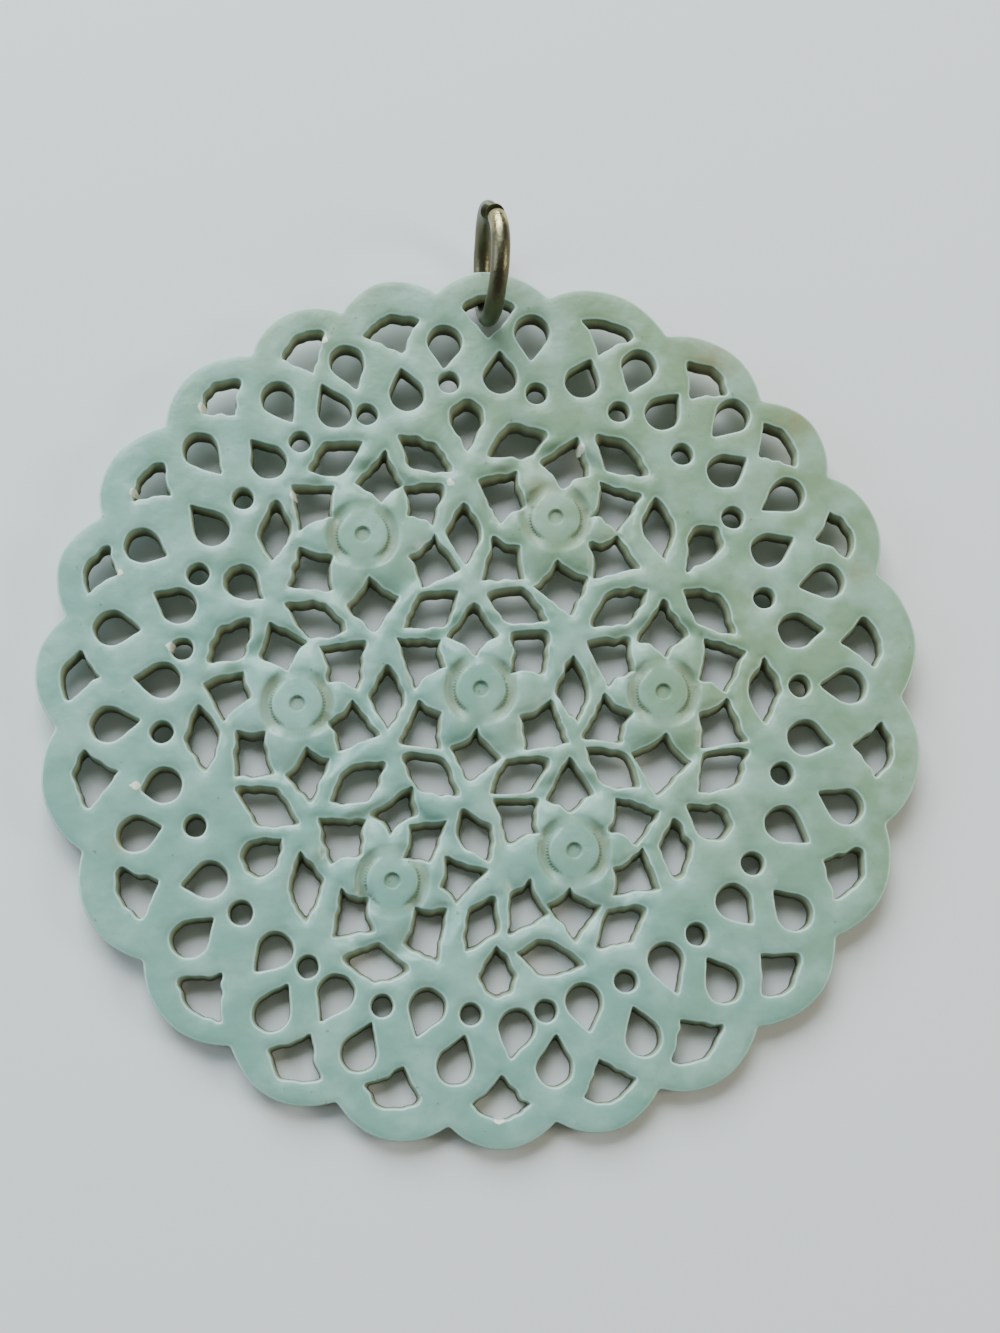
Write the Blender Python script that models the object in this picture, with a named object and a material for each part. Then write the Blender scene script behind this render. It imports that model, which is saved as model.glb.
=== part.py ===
"""A carved celluloid pendant on its jump ring, lying face up as it does when it is loose.

The disc is one plate. Its edge is scalloped, a border of curved diamonds, teardrops and round
holes is pierced behind the edge, and a lattice of kites and lozenges leaves seven six-petalled
flowers in the middle. A turned cutter carves the hub, the groove and the falling petals of each
flower. The jump ring is bent wire, open at its split, and passes through the top diamond.

The pattern is laid out in the plate's own plane, +X to the right and +Y to the hanging hole,
with +Z out of the carved face. The wire passes under the edge, so the plate lies a little
tilted, on the ring at one end and on the opposite scallop at the other.
"""

import math

import bmesh
import bpy
from mathutils import Matrix, Vector

MM = 0.001

# The plate is filled and carved while it is enlarged, so that a millimetre is as long as a metre,
# because the tolerances of Blender's fill and Boolean suit larger shapes.
ENLARGEMENT = 1 / MM

# Plate. The pattern is drawn on a disc of 25 units' radius, so that it follows the disc's size.
DISC_RADIUS = 25.0 * MM
UNIT = DISC_RADIUS / 25
PLATE_THICKNESS = 1.15 * MM
SCALLOPS = 23
SCALLOP_DEPTH = 1.2 * UNIT
SCALLOP_STEPS = 5

# The scallops were set out by hand: their spacing drifts round the disc in slow waves, each
# with its count, its size in degrees and its start in degrees.
FIRST_SCALLOP = 7.3
SPACING_DRIFTS = (
    (1, 1.8, -85.0),
    (2, 1.6, -103.0),
    (3, 0.9, 16.0),
    (4, 0.5, 24.0),
    (5, 0.6, -32.0),
    (6, 0.5, -110.0),
)

# Border holes. A place is a distance from the disc's centre, and a row's turn sets it back a
# little against the scallops. The two inner rows run round an oval, long towards its direction.
RIM_WIDTH = 1.4 * UNIT
DIAMOND_DEPTH = 2.6 * UNIT
DIAMOND_WIDTH = 3.3 * UNIT
DIAMOND_ARCH = 0.75 * UNIT
DIAMOND_WAIST = 0.22 * UNIT
HANGING_WEAR = 0.2 * UNIT
TEARDROP_RADIUS = 0.98 * UNIT
TEARDROP_LENGTH = 2.75 * UNIT
OUTER_TEARDROP_PLACE = 21.15 * UNIT
OUTER_TEARDROP_TURN = 0.9
INNER_TEARDROP_PLACE = 18.35 * UNIT
INNER_TEARDROP_TURN = 1.8
LATTICE_TEARDROP_PLACE = 15.8 * UNIT
PINHOLE_RADIUS = 0.68 * UNIT
PINHOLE_PLACE = 18.0 * UNIT
PINHOLE_TURN = 2.0
INNER_ROW_OVAL = 0.25 * UNIT
INNER_ROW_OVAL_DIRECTION = 56.0
ROUND_STEPS = 8
TEARDROP_STEPS = 6
DIAMOND_STEPS = 3

# Flowers: the middle one lies a little off the disc's centre. Each outer one, anticlockwise, has
# its direction and distance from the middle one, then the distance from the middle one of the
# lozenge that follows it, then the direction and distance of its own three outward lozenges.
MIDDLE_FLOWER = (-0.2 * UNIT, 0.1 * UNIT)
OUTER_FLOWERS = (
    (0.0, 10.2 * UNIT, 9.2 * UNIT, ((-51, 5.5 * UNIT), (1, 6.0 * UNIT), (59, 5.6 * UNIT))),
    (67.0, 11.0 * UNIT, 9.2 * UNIT, ((-6, 5.9 * UNIT), (45, 5.2 * UNIT), (117, 5.0 * UNIT))),
    (128.0, 11.1 * UNIT, 10.2 * UNIT, ((55, 6.0 * UNIT), (110, 5.0 * UNIT), (177, 5.1 * UNIT))),
    (185.0, 10.4 * UNIT, 8.7 * UNIT, ((138, 5.2 * UNIT), (200, 5.6 * UNIT), (255, 6.0 * UNIT))),
    (246.0, 11.9 * UNIT, 8.3 * UNIT, ((183, 4.8 * UNIT), (259, 4.5 * UNIT), (334, 5.4 * UNIT))),
    (299.0, 10.4 * UNIT, 8.7 * UNIT, ((257, 6.1 * UNIT), (302, 4.9 * UNIT), (360, 5.9 * UNIT))),
)
# The last flower has one broad petal: the kite that follows it, by its number, starts this many
# degrees later.
BROAD_PETAL_FLOWER = 6
BROAD_PETAL_KITE = 3
BROAD_PETAL_TURN = 32.0
PETAL_ROOT = 2.2 * UNIT
PETAL_NECK = 0.5 * UNIT
TIP_STRUT = 0.95 * UNIT
NODE_RADIUS = 1.15 * UNIT
KITE_REACH = 5.4 * UNIT
PETAL_SWELL = 0.2 * UNIT
LOZENGE_LENGTH = 3.8 * UNIT
LOZENGE_WIDTH = 2.05 * UNIT
PETAL_STEPS = 2

# Carving of a flower
HUB_RADIUS = 1.38 * UNIT
DIMPLE_RADIUS = 0.45 * UNIT
DIMPLE_DEPTH = 0.25 * MM
GROOVE_DEPTH = 0.42 * MM
GROOVE_WIDTH = 0.5 * UNIT
PETAL_CREST_RADIUS = 2.3 * UNIT
PETAL_CREST_DEPTH = 0.08 * MM
PETAL_EDGE_RADIUS = 3.7 * UNIT
PETAL_EDGE_DEPTH = 0.32 * MM
CUTTER_LIFT = 0.5 * MM
TURNED_STEPS = 14

# Jump ring
WIRE_DIAMETER = 1.07 * MM
RING_DIAMETER = 7.2 * MM
RING_CLEARANCE = 0.3 * MM
RING_SPLIT_DIRECTION = 42.0
RING_SPLIT_GAP = 0.5 * MM
RING_SIDE_OPENING = 0.9 * MM
RING_STEPS = 30


def polar(radius, degrees):
    turn = math.radians(degrees)
    return Vector((radius * math.cos(turn), radius * math.sin(turn)))


def scallop_angle(index):
    """The direction of a scallop's tip in degrees; a half index gives the valley after it."""
    share = index / SCALLOPS
    drift = sum(
        size * math.cos(math.radians(360 * waves * share + start))
        for waves, size, start in SPACING_DRIFTS
    )
    return FIRST_SCALLOP + 360 * share + drift


def hanging_scallop():
    return min(range(SCALLOPS), key=lambda index: abs(scallop_angle(index) - 90))


def disc_outline():
    points = []
    for index in range(SCALLOPS):
        for step in range(SCALLOP_STEPS):
            along = 2 * step / SCALLOP_STEPS - 1
            radius = DISC_RADIUS - SCALLOP_DEPTH * along**2
            points.append(polar(radius, scallop_angle(index + along / 2)))
    return points


def bowed_outline(corners, bows, steps):
    """A closed outline through corners given anticlockwise; a side with a negative bow curves inwards."""
    points = []
    for index, (start, bow) in enumerate(zip(corners, bows)):
        side = corners[(index + 1) % len(corners)] - start
        outwards = Vector((side.y, -side.x)).normalized()
        side_steps = steps if bow else 1
        for step in range(side_steps):
            share = step / side_steps
            points.append(start + side * share + outwards * bow * 4 * share * (1 - share))
    return points


def round_hole(centre, radius):
    return [centre + polar(radius, 360 * step / ROUND_STEPS) for step in range(ROUND_STEPS)]


def teardrop(centre, tip_direction):
    """A round end about the centre, whose straight sides meet at the tip."""
    reach = TEARDROP_LENGTH - TEARDROP_RADIUS
    opening = math.degrees(math.acos(TEARDROP_RADIUS / reach))
    sweep = 360 - 2 * opening
    arc = [
        centre + polar(TEARDROP_RADIUS, tip_direction + opening + sweep * step / TEARDROP_STEPS)
        for step in range(TEARDROP_STEPS + 1)
    ]
    return arc + [centre + polar(reach, tip_direction)]


def diamond(direction, depth, waist):
    """A border hole behind a scallop's tip: a point inwards, and an arch that follows the scallop."""
    along = polar(1, direction)
    across = Vector((-along.y, along.x))
    top = DISC_RADIUS - RIM_WIDTH
    shoulder = top - DIAMOND_ARCH
    corners = (
        along * (top - depth),
        along * shoulder - across * DIAMOND_WIDTH / 2,
        along * shoulder + across * DIAMOND_WIDTH / 2,
    )
    return bowed_outline(corners, (-waist, DIAMOND_ARCH, -waist), DIAMOND_STEPS)


def oval_place(place, direction):
    """A place in the two inner rows, which the oval carries in or out."""
    wave = math.cos(math.radians(2 * (direction - INNER_ROW_OVAL_DIRECTION)))
    return polar(place + INNER_ROW_OVAL * wave, direction)


def border_holes():
    holes = []
    hanging = hanging_scallop()
    for index in range(SCALLOPS):
        tip = scallop_angle(index)
        valley = scallop_angle(index + 0.5)
        if index == hanging:
            holes.append(diamond(tip, DIAMOND_DEPTH + HANGING_WEAR, 0))
        else:
            holes.append(diamond(tip, DIAMOND_DEPTH, DIAMOND_WAIST))
        outer = valley + OUTER_TEARDROP_TURN
        holes.append(teardrop(polar(OUTER_TEARDROP_PLACE, outer), outer + 180))
        inner = tip + INNER_TEARDROP_TURN
        holes.append(teardrop(oval_place(INNER_TEARDROP_PLACE, inner), inner))
        holes.append(round_hole(oval_place(PINHOLE_PLACE, valley + PINHOLE_TURN), PINHOLE_RADIUS))
    return holes


def direction_of(vector):
    return math.degrees(math.atan2(vector.y, vector.x)) % 360


def flower_centres():
    middle = Vector(MIDDLE_FLOWER)
    return [middle] + [middle + polar(row[1], row[0]) for row in OUTER_FLOWERS]


def between(index, centres):
    """The direction, from the middle flower, halfway between an outer flower and the next."""
    first = (centres[index] - centres[0]).normalized()
    second = (centres[1 + index % len(OUTER_FLOWERS)] - centres[0]).normalized()
    return direction_of(first + second)


def lozenge_places(centres):
    """Each lozenge's centre, the direction it stands across, and the flowers whose petals reach it."""
    places = []
    for index, (_, _, between_distance, outward) in enumerate(OUTER_FLOWERS, start=1):
        after = 1 + index % len(OUTER_FLOWERS)
        flower = centres[index]
        places.append(((centres[0] + flower) / 2, direction_of(flower - centres[0]), (0, index)))
        gap = centres[0] + polar(between_distance, between(index, centres))
        places.append((gap, direction_of(centres[after] - flower), (index, after)))
        for turn, distance in outward:
            places.append((flower + polar(distance, turn), turn, (index,)))
    return places


def lozenge(centre, direction):
    """A lattice hole that stands across the given direction."""
    along = polar(LOZENGE_WIDTH / 2, direction)
    across = polar(LOZENGE_LENGTH / 2, direction + 90)
    return [centre + along, centre + across, centre - along, centre - across]


def kite(flower, first, second):
    """The hole between two petals, which point at the lozenges first and second.

    Its outer point stops short of the node, where the two lozenges' long axes meet, and goes no
    farther than a kite reaches.
    """
    a = first - flower
    b = second - flower
    area = a.x * b.y - a.y * b.x
    node_x = (a.length_squared * b.y - b.length_squared * a.y) / area
    node_y = (b.length_squared * a.x - a.length_squared * b.x) / area
    node = Vector((node_x, node_y))
    first_reach = a.length - LOZENGE_WIDTH / 2 - TIP_STRUT
    second_reach = b.length - LOZENGE_WIDTH / 2 - TIP_STRUT
    corners = (
        flower + (a.normalized() + b.normalized()).normalized() * PETAL_ROOT,
        flower + polar(first_reach, direction_of(a) + math.degrees(PETAL_NECK / 2 / first_reach)),
        flower + node.normalized() * min(node.length - NODE_RADIUS, KITE_REACH),
        flower + polar(second_reach, direction_of(b) - math.degrees(PETAL_NECK / 2 / second_reach)),
    )
    return bowed_outline(corners, (-PETAL_SWELL, 0, 0, -PETAL_SWELL), PETAL_STEPS)


def lattice_holes():
    centres = flower_centres()
    places = lozenge_places(centres)
    holes = []
    for index, flower in enumerate(centres):
        around = [centre for centre, _, flowers in places if index in flowers]
        around.sort(key=lambda centre: direction_of(centre - flower))
        for number, (first, second) in enumerate(zip(around, around[1:] + around[:1])):
            if (index, number) == (BROAD_PETAL_FLOWER, BROAD_PETAL_KITE):
                first = flower + polar((first - flower).length, direction_of(first - flower) + BROAD_PETAL_TURN)
            holes.append(kite(flower, first, second))
    for centre, direction, _ in places:
        holes.append(lozenge(centre, direction))
    for index in range(1, len(centres)):
        direction = between(index, centres)
        holes.append(teardrop(polar(LATTICE_TEARDROP_PLACE, direction), direction + 180))
    return holes


def material(name, colour, roughness, metallic):
    finish = bpy.data.materials.new(name)
    finish.use_nodes = True
    shader = finish.node_tree.nodes["Principled BSDF"]
    shader.inputs["Base Color"].default_value = (*colour, 1)
    shader.inputs["Roughness"].default_value = roughness
    shader.inputs["Metallic"].default_value = metallic
    finish.diffuse_color = (*colour, 1)
    return finish


def add_object(name, mesh):
    piece = bpy.data.objects.new(name, mesh)
    bpy.context.scene.collection.objects.link(piece)
    return piece


def evaluated_mesh(piece):
    bpy.context.view_layer.update()
    graph = bpy.context.evaluated_depsgraph_get()
    return bpy.data.meshes.new_from_object(piece.evaluated_get(graph))


def pierced_plate(outlines, thickness):
    """An enlarged plate of the first outline, pierced by the others."""
    curve = bpy.data.curves.new("plate_drawing", "CURVE")
    curve.dimensions = "2D"
    curve.fill_mode = "BOTH"
    curve.extrude = thickness / 2 * ENLARGEMENT
    for outline in outlines:
        spline = curve.splines.new("POLY")
        spline.points.add(len(outline) - 1)
        spline.use_cyclic_u = True
        for point, place in zip(spline.points, outline):
            point.co = (*(place * ENLARGEMENT), 0, 1)
    drawing = add_object("plate_drawing", curve)
    mesh = evaluated_mesh(drawing)
    bpy.data.objects.remove(drawing)
    shape = bmesh.new()
    shape.from_mesh(mesh)
    bmesh.ops.remove_doubles(shape, verts=shape.verts, dist=0.001)
    bmesh.ops.recalc_face_normals(shape, faces=shape.faces)
    shape.to_mesh(mesh)
    shape.free()
    return mesh


def turned(shape, centre, profile):
    """Adds a ring turned about the centre from a closed profile of (radius, height) points."""
    rings = []
    for step in range(TURNED_STEPS):
        side = polar(1, 360 * step / TURNED_STEPS)
        rings.append(
            [
                shape.verts.new((centre.x + side.x * radius, centre.y + side.y * radius, height))
                for radius, height in profile
            ]
        )
    for ring, after in zip(rings, rings[1:] + rings[:1]):
        for index in range(len(profile)):
            onward = (index + 1) % len(profile)
            shape.faces.new((ring[index], after[index], after[onward], ring[onward]))


def flower_cutter():
    """One enlarged cutter for all the flowers: a turned ring and a dimple over each."""
    face = PLATE_THICKNESS / 2
    top = face + CUTTER_LIFT
    profile = (
        (HUB_RADIUS, top),
        (HUB_RADIUS, face - GROOVE_DEPTH),
        (HUB_RADIUS + GROOVE_WIDTH, face - GROOVE_DEPTH),
        (PETAL_CREST_RADIUS, face - PETAL_CREST_DEPTH),
        (PETAL_EDGE_RADIUS, face - PETAL_EDGE_DEPTH),
        (PETAL_EDGE_RADIUS, top),
    )
    shape = bmesh.new()
    for centre in flower_centres():
        turned(shape, centre, profile)
        depth = DIMPLE_DEPTH + CUTTER_LIFT
        bmesh.ops.create_cone(
            shape,
            cap_ends=True,
            segments=ROUND_STEPS,
            radius1=DIMPLE_RADIUS,
            radius2=DIMPLE_RADIUS,
            depth=depth,
            matrix=Matrix.Translation((centre.x, centre.y, top - depth / 2)),
        )
    bmesh.ops.recalc_face_normals(shape, faces=shape.faces)
    bmesh.ops.scale(shape, verts=shape.verts, vec=(ENLARGEMENT,) * 3)
    mesh = bpy.data.meshes.new("flower_cutter")
    shape.to_mesh(mesh)
    shape.free()
    return mesh


def openwork_disc():
    outlines = [disc_outline()] + border_holes() + lattice_holes()
    plate = add_object("plate", pierced_plate(outlines, PLATE_THICKNESS))
    cutter = add_object("flower_cutter", flower_cutter())
    carving = plate.modifiers.new("flower carving", "BOOLEAN")
    carving.operation = "DIFFERENCE"
    carving.object = cutter
    mesh = evaluated_mesh(plate)
    bpy.data.objects.remove(plate)
    bpy.data.objects.remove(cutter)
    mesh.transform(Matrix.Scale(1 / ENLARGEMENT, 4))
    mesh.name = "openwork_disc"
    disc = add_object("openwork_disc", mesh)
    disc.data.materials.append(material("celluloid", (0.56, 0.66, 0.56), 0.35, 0.0))
    return disc


def ring_place():
    """The ring's centre in the plate's frame: as low and as far in as the plate lets the wire go."""
    bend = (RING_DIAMETER - WIRE_DIAMETER) / 2
    bore = bend - WIRE_DIAMETER / 2
    height = bore - PLATE_THICKNESS / 2 - RING_CLEARANCE
    point_depth = DIAMOND_DEPTH + HANGING_WEAR
    half_point = math.atan2(DIAMOND_WIDTH / 2, point_depth - DIAMOND_ARCH)
    wire_room = (WIRE_DIAMETER / 2 + RING_CLEARANCE) / math.sin(half_point)
    wire_distance = DISC_RADIUS - RIM_WIDTH - point_depth + wire_room
    reach = math.sqrt(bend**2 - (height - PLATE_THICKNESS / 2) ** 2)
    return bend, wire_distance + reach, height


def jump_ring():
    """Bent wire whose ends were pressed apart sideways at the split, on the far side of its top."""
    bend, distance, height = ring_place()
    hang = math.radians(scallop_angle(hanging_scallop()))
    gap = math.degrees(RING_SPLIT_GAP / bend)
    curve = bpy.data.curves.new("jump_ring", "CURVE")
    curve.dimensions = "3D"
    curve.bevel_depth = WIRE_DIAMETER / 2
    curve.bevel_resolution = 2
    curve.use_fill_caps = True
    spline = curve.splines.new("POLY")
    spline.points.add(RING_STEPS - 1)
    for step, point in enumerate(spline.points):
        share = step / (RING_STEPS - 1)
        place = polar(bend, RING_SPLIT_DIRECTION + gap / 2 + (360 - gap) * share)
        side = RING_SIDE_OPENING * (0.5 - share)
        point.co = (side, place.x, place.y, 1)
    ring = add_object("jump_ring", curve)
    ring.data.materials.append(material("antique_brass", (0.30, 0.25, 0.15), 0.4, 1.0))
    ring.location = (distance * math.cos(hang), distance * math.sin(hang), height)
    ring.rotation_euler.z = hang - math.pi / 2
    return ring


def rest_tilt():
    """How far the wire under the edge tips the plate, which touches down at the opposite scallop."""
    bend, distance, height = ring_place()
    drop = bend + WIRE_DIAMETER / 2 - height - PLATE_THICKNESS / 2
    return math.asin(drop / (distance + DISC_RADIUS))


def lay_down(pieces):
    """Tilts the pieces together and sets their box's lowest middle at the origin."""
    rest = bpy.data.objects.new("rest_pose", None)
    bpy.context.scene.collection.objects.link(rest)
    for piece in pieces:
        piece.parent = rest
    rest.rotation_euler.x = rest_tilt()
    corners = []
    for piece in pieces:
        mesh = evaluated_mesh(piece)
        corners += [piece.matrix_world @ vertex.co for vertex in mesh.vertices]
        bpy.data.meshes.remove(mesh)
    low = Vector(min(corner[axis] for corner in corners) for axis in range(3))
    high = Vector(max(corner[axis] for corner in corners) for axis in range(3))
    rest.location = (-(low.x + high.x) / 2, -(low.y + high.y) / 2, -low.z)
    bpy.context.view_layer.update()


def main():
    for leftover in list(bpy.data.objects):
        bpy.data.objects.remove(leftover)
    lay_down((openwork_disc(), jump_ring()))


if __name__ == "__main__":
    main()
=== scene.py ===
"""Dresses a carved celluloid pendant and its jump ring, lying face up on a pale floor.

The disc is drawn in millimetres in the plate's own plane, with +X to the right, +Y to the hanging
hole and +Z out of the carved face. Its edge and its hanging hole follow the rules of its solid, and
every other hole stands where the photograph shows it. The holes then get the sway of a hand-held
saw and tapered walls, every edge is a little worn, and the flowers are turned and gouged.
"""

import math

import bmesh
import bpy
from bpy.props import FloatProperty, FloatVectorProperty, IntProperty, PointerProperty
from mathutils import Matrix, Vector, kdtree, noise
from mathutils.geometry import delaunay_2d_cdt


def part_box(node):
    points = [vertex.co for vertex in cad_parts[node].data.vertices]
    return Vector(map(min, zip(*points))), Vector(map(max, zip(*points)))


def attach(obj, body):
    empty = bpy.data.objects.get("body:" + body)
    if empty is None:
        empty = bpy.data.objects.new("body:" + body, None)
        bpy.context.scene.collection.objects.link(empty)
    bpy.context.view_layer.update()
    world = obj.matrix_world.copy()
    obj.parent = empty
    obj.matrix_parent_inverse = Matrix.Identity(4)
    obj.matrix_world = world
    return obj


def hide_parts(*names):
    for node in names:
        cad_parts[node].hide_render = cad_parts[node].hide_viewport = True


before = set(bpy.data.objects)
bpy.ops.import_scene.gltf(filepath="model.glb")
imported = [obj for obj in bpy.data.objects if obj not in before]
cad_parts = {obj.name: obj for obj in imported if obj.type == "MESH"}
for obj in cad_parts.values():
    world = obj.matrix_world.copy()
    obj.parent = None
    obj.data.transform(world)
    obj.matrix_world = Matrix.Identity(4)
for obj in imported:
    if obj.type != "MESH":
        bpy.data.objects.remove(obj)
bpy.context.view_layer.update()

bl_info = {
    "name": "Carved celluloid pendant",
    "version": (1, 0, 0),
    "blender": (4, 5, 0),
    "location": "View3D > Sidebar > Pendant",
    "description": "Models and finishes an openwork celluloid pendant on its jump ring",
    "category": "Object",
}

MM = 0.001

# Plate and border pattern, in millimetres and degrees
DISC_RADIUS = 25.0
PLATE_THICKNESS = 1.15
SCALLOPS = 23
SCALLOP_DEPTH = 1.2
FIRST_SCALLOP = 7.3
SPACING_DRIFTS = (
    (1, 1.8, -85.0), (2, 1.6, -103.0), (3, 0.9, 16.0), (4, 0.5, 24.0), (5, 0.6, -32.0), (6, 0.5, -110.0),
)
# The hanging hole stands behind the topmost scallop
HANGING_RIM = 1.4
HANGING_DEPTH = 2.8
HANGING_WIDTH = 3.3
HANGING_ARCH = 0.75
TEARDROP_RADIUS = 1.02
PINHOLE_RADIUS = 0.65

# The border, read off the photograph against a grid in the plate's own plane, anticlockwise from
# the hanging hole's left: x and y of each corner of the holes behind the scallops, from the corner
# that points inwards
SCALLOP_HOLES = (
    (-4.9, 19.8, -3.85, 21.95, -5.75, 22.1, -7.2, 20.8),
    (-10.0, 18.5, -9.25, 21.0, -10.95, 20.85, -11.9, 19.25),
    (-14.3, 15.75, -14.05, 18.0, -15.9, 17.65, -16.3, 15.85),
    (-17.85, 11.0, -18.3, 13.0, -19.5, 12.45, -20.0, 10.6),
    (-20.55, 6.45, -21.15, 8.05, -22.45, 7.0, -22.25, 5.3),
    (-21.3, 0.55, -22.6, 2.05, -23.6, 0.6, -23.05, -0.9),
    (-20.1, -4.75, -22.1, -3.45, -22.55, -5.1, -21.65, -6.9),
    (-17.65, -10.6, -19.9, -9.85, -20.0, -11.5, -18.5, -12.85),
    (-14.2, -15.55, -16.6, -15.8, -15.95, -17.4, -14.2, -18.2),
    (-9.4, -18.9, -11.65, -19.6, -11.0, -21.15, -8.75, -21.25),
    (-4.35, -20.5, -6.5, -21.55, -5.3, -22.85, -3.4, -22.25),
    (0.9, -21.0, -0.8, -22.6, 0.85, -23.4, 2.45, -22.6),
    (6.2, -20.15, 5.35, -22.25, 6.9, -22.55, 8.4, -21.2),
    (10.7, -18.05, 10.2, -20.4, 12.1, -20.2, 13.05, -18.4),
    (15.2, -14.55, 15.2, -16.85, 16.8, -16.6, 17.5, -14.5),
    (18.85, -9.4, 19.45, -11.6, 21.1, -10.6, 21.15, -8.5),
    (20.8, -2.9, 22.15, -4.75, 23.15, -3.3, 22.6, -1.4),
    (20.35, 3.05, 22.3, 1.55, 22.75, 3.2, 21.7, 4.65),
    (19.15, 9.1, 21.0, 8.0, 21.35, 9.5, 20.05, 10.85),
    (15.95, 13.95, 18.1, 13.35, 17.95, 15.1, 16.2, 16.1),
    (12.0, 17.4, 14.2, 17.7, 13.7, 19.2, 11.75, 19.8),
    (6.65, 20.0, 8.9, 21.1, 7.6, 22.0, 5.65, 22.15),
)
# x and y of the middle of each border teardrop's round end, then of its tip
OUTER_TEARDROPS = (
    (-2.42, 20.65, -2.44, 18.9), (-8.1, 19.25, -7.5, 17.6), (-12.0, 16.95, -11.08, 15.48),
    (-16.35, 13.8, -15.05, 12.32), (-19.4, 8.1, -17.93, 7.53), (-20.9, 3.35, -19.2, 3.27),
    (-20.85, -2.1, -19.07, -1.84), (-19.15, -8.1, -17.67, -7.73), (-16.05, -13.8, -14.7, -12.65),
    (-11.55, -17.75, -10.65, -16.2), (-6.8, -19.85, -6.08, -18.2), (-1.6, -20.55, -1.05, -18.86),
    (3.8, -20.7, 3.9, -18.86), (8.7, -19.1, 8.08, -17.35), (13.2, -16.25, 12.25, -14.75),
    (17.25, -12.3, 16.02, -11.0), (20.35, -6.4, 18.77, -5.53), (20.8, 0.5, 19.07, 0.57),
    (19.75, 6.65, 18.03, 6.27), (17.6, 11.75, 15.95, 10.75), (14.5, 16.5, 13.25, 15.2),
    (9.0, 19.4, 8.38, 17.68), (2.68, 21.4, 2.65, 19.55),
)
INNER_TEARDROPS = (
    (-4.57, 17.37, -4.95, 19.0), (-8.7, 16.25, -9.55, 17.9), (-12.4, 13.15, -13.52, 14.5),
    (-15.55, 9.15, -16.85, 10.55), (-17.25, 4.65, -18.7, 5.4), (-18.0, 0.45, -19.67, 0.53),
    (-17.7, -5.45, -18.95, -5.75), (-15.05, -10.6, -16.6, -10.95), (-11.4, -14.4, -12.55, -15.6),
    (-8.03, -16.65, -8.9, -18.22), (-3.1, -17.45, -3.74, -19.13), (1.75, -18.5, 1.42, -20.28),
    (5.42, -17.15, 5.77, -18.87), (9.95, -14.95, 10.62, -16.78), (13.8, -11.7, 14.9, -12.97),
    (16.75, -7.4, 18.23, -8.44), (18.15, -2.45, 19.8, -2.84), (17.85, 3.7, 19.5, 3.83),
    (16.35, 8.4, 17.9, 9.2), (13.93, 13.1, 15.28, 13.95), (10.3, 16.55, 11.37, 17.75),
    (5.63, 18.4, 6.2, 19.8), (0.85, 18.55, 0.8, 20.2),
)
PINHOLES = (
    (-2.13, 18.17), (-6.87, 16.1), (-10.68, 14.4), (-13.85, 10.95), (-16.2, 6.5), (-16.95, 2.2),
    (-17.95, -2.5), (-15.93, -7.7), (-13.33, -12.38), (-9.63, -15.28), (-5.58, -17.36), (-0.75, -17.8),
    (3.33, -17.64), (7.75, -16.08), (11.73, -13.5), (14.95, -9.62), (16.78, -4.53), (17.96, 0.47),
    (16.03, 5.6), (14.3, 10.33), (11.45, 14.08), (7.76, 16.58), (2.95, 17.6),
)

# The lattice, read off in the same way: the middle of each flower, then x and y of each corner of
# the holes at the face, anticlockwise
FLOWERS = (
    (-0.25, 0.1), (10.1, 0.05), (4.05, 10.15), (-7.0, 8.95), (-10.5, -0.85), (-5.1, -10.65), (4.95, -8.95),
)
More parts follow.
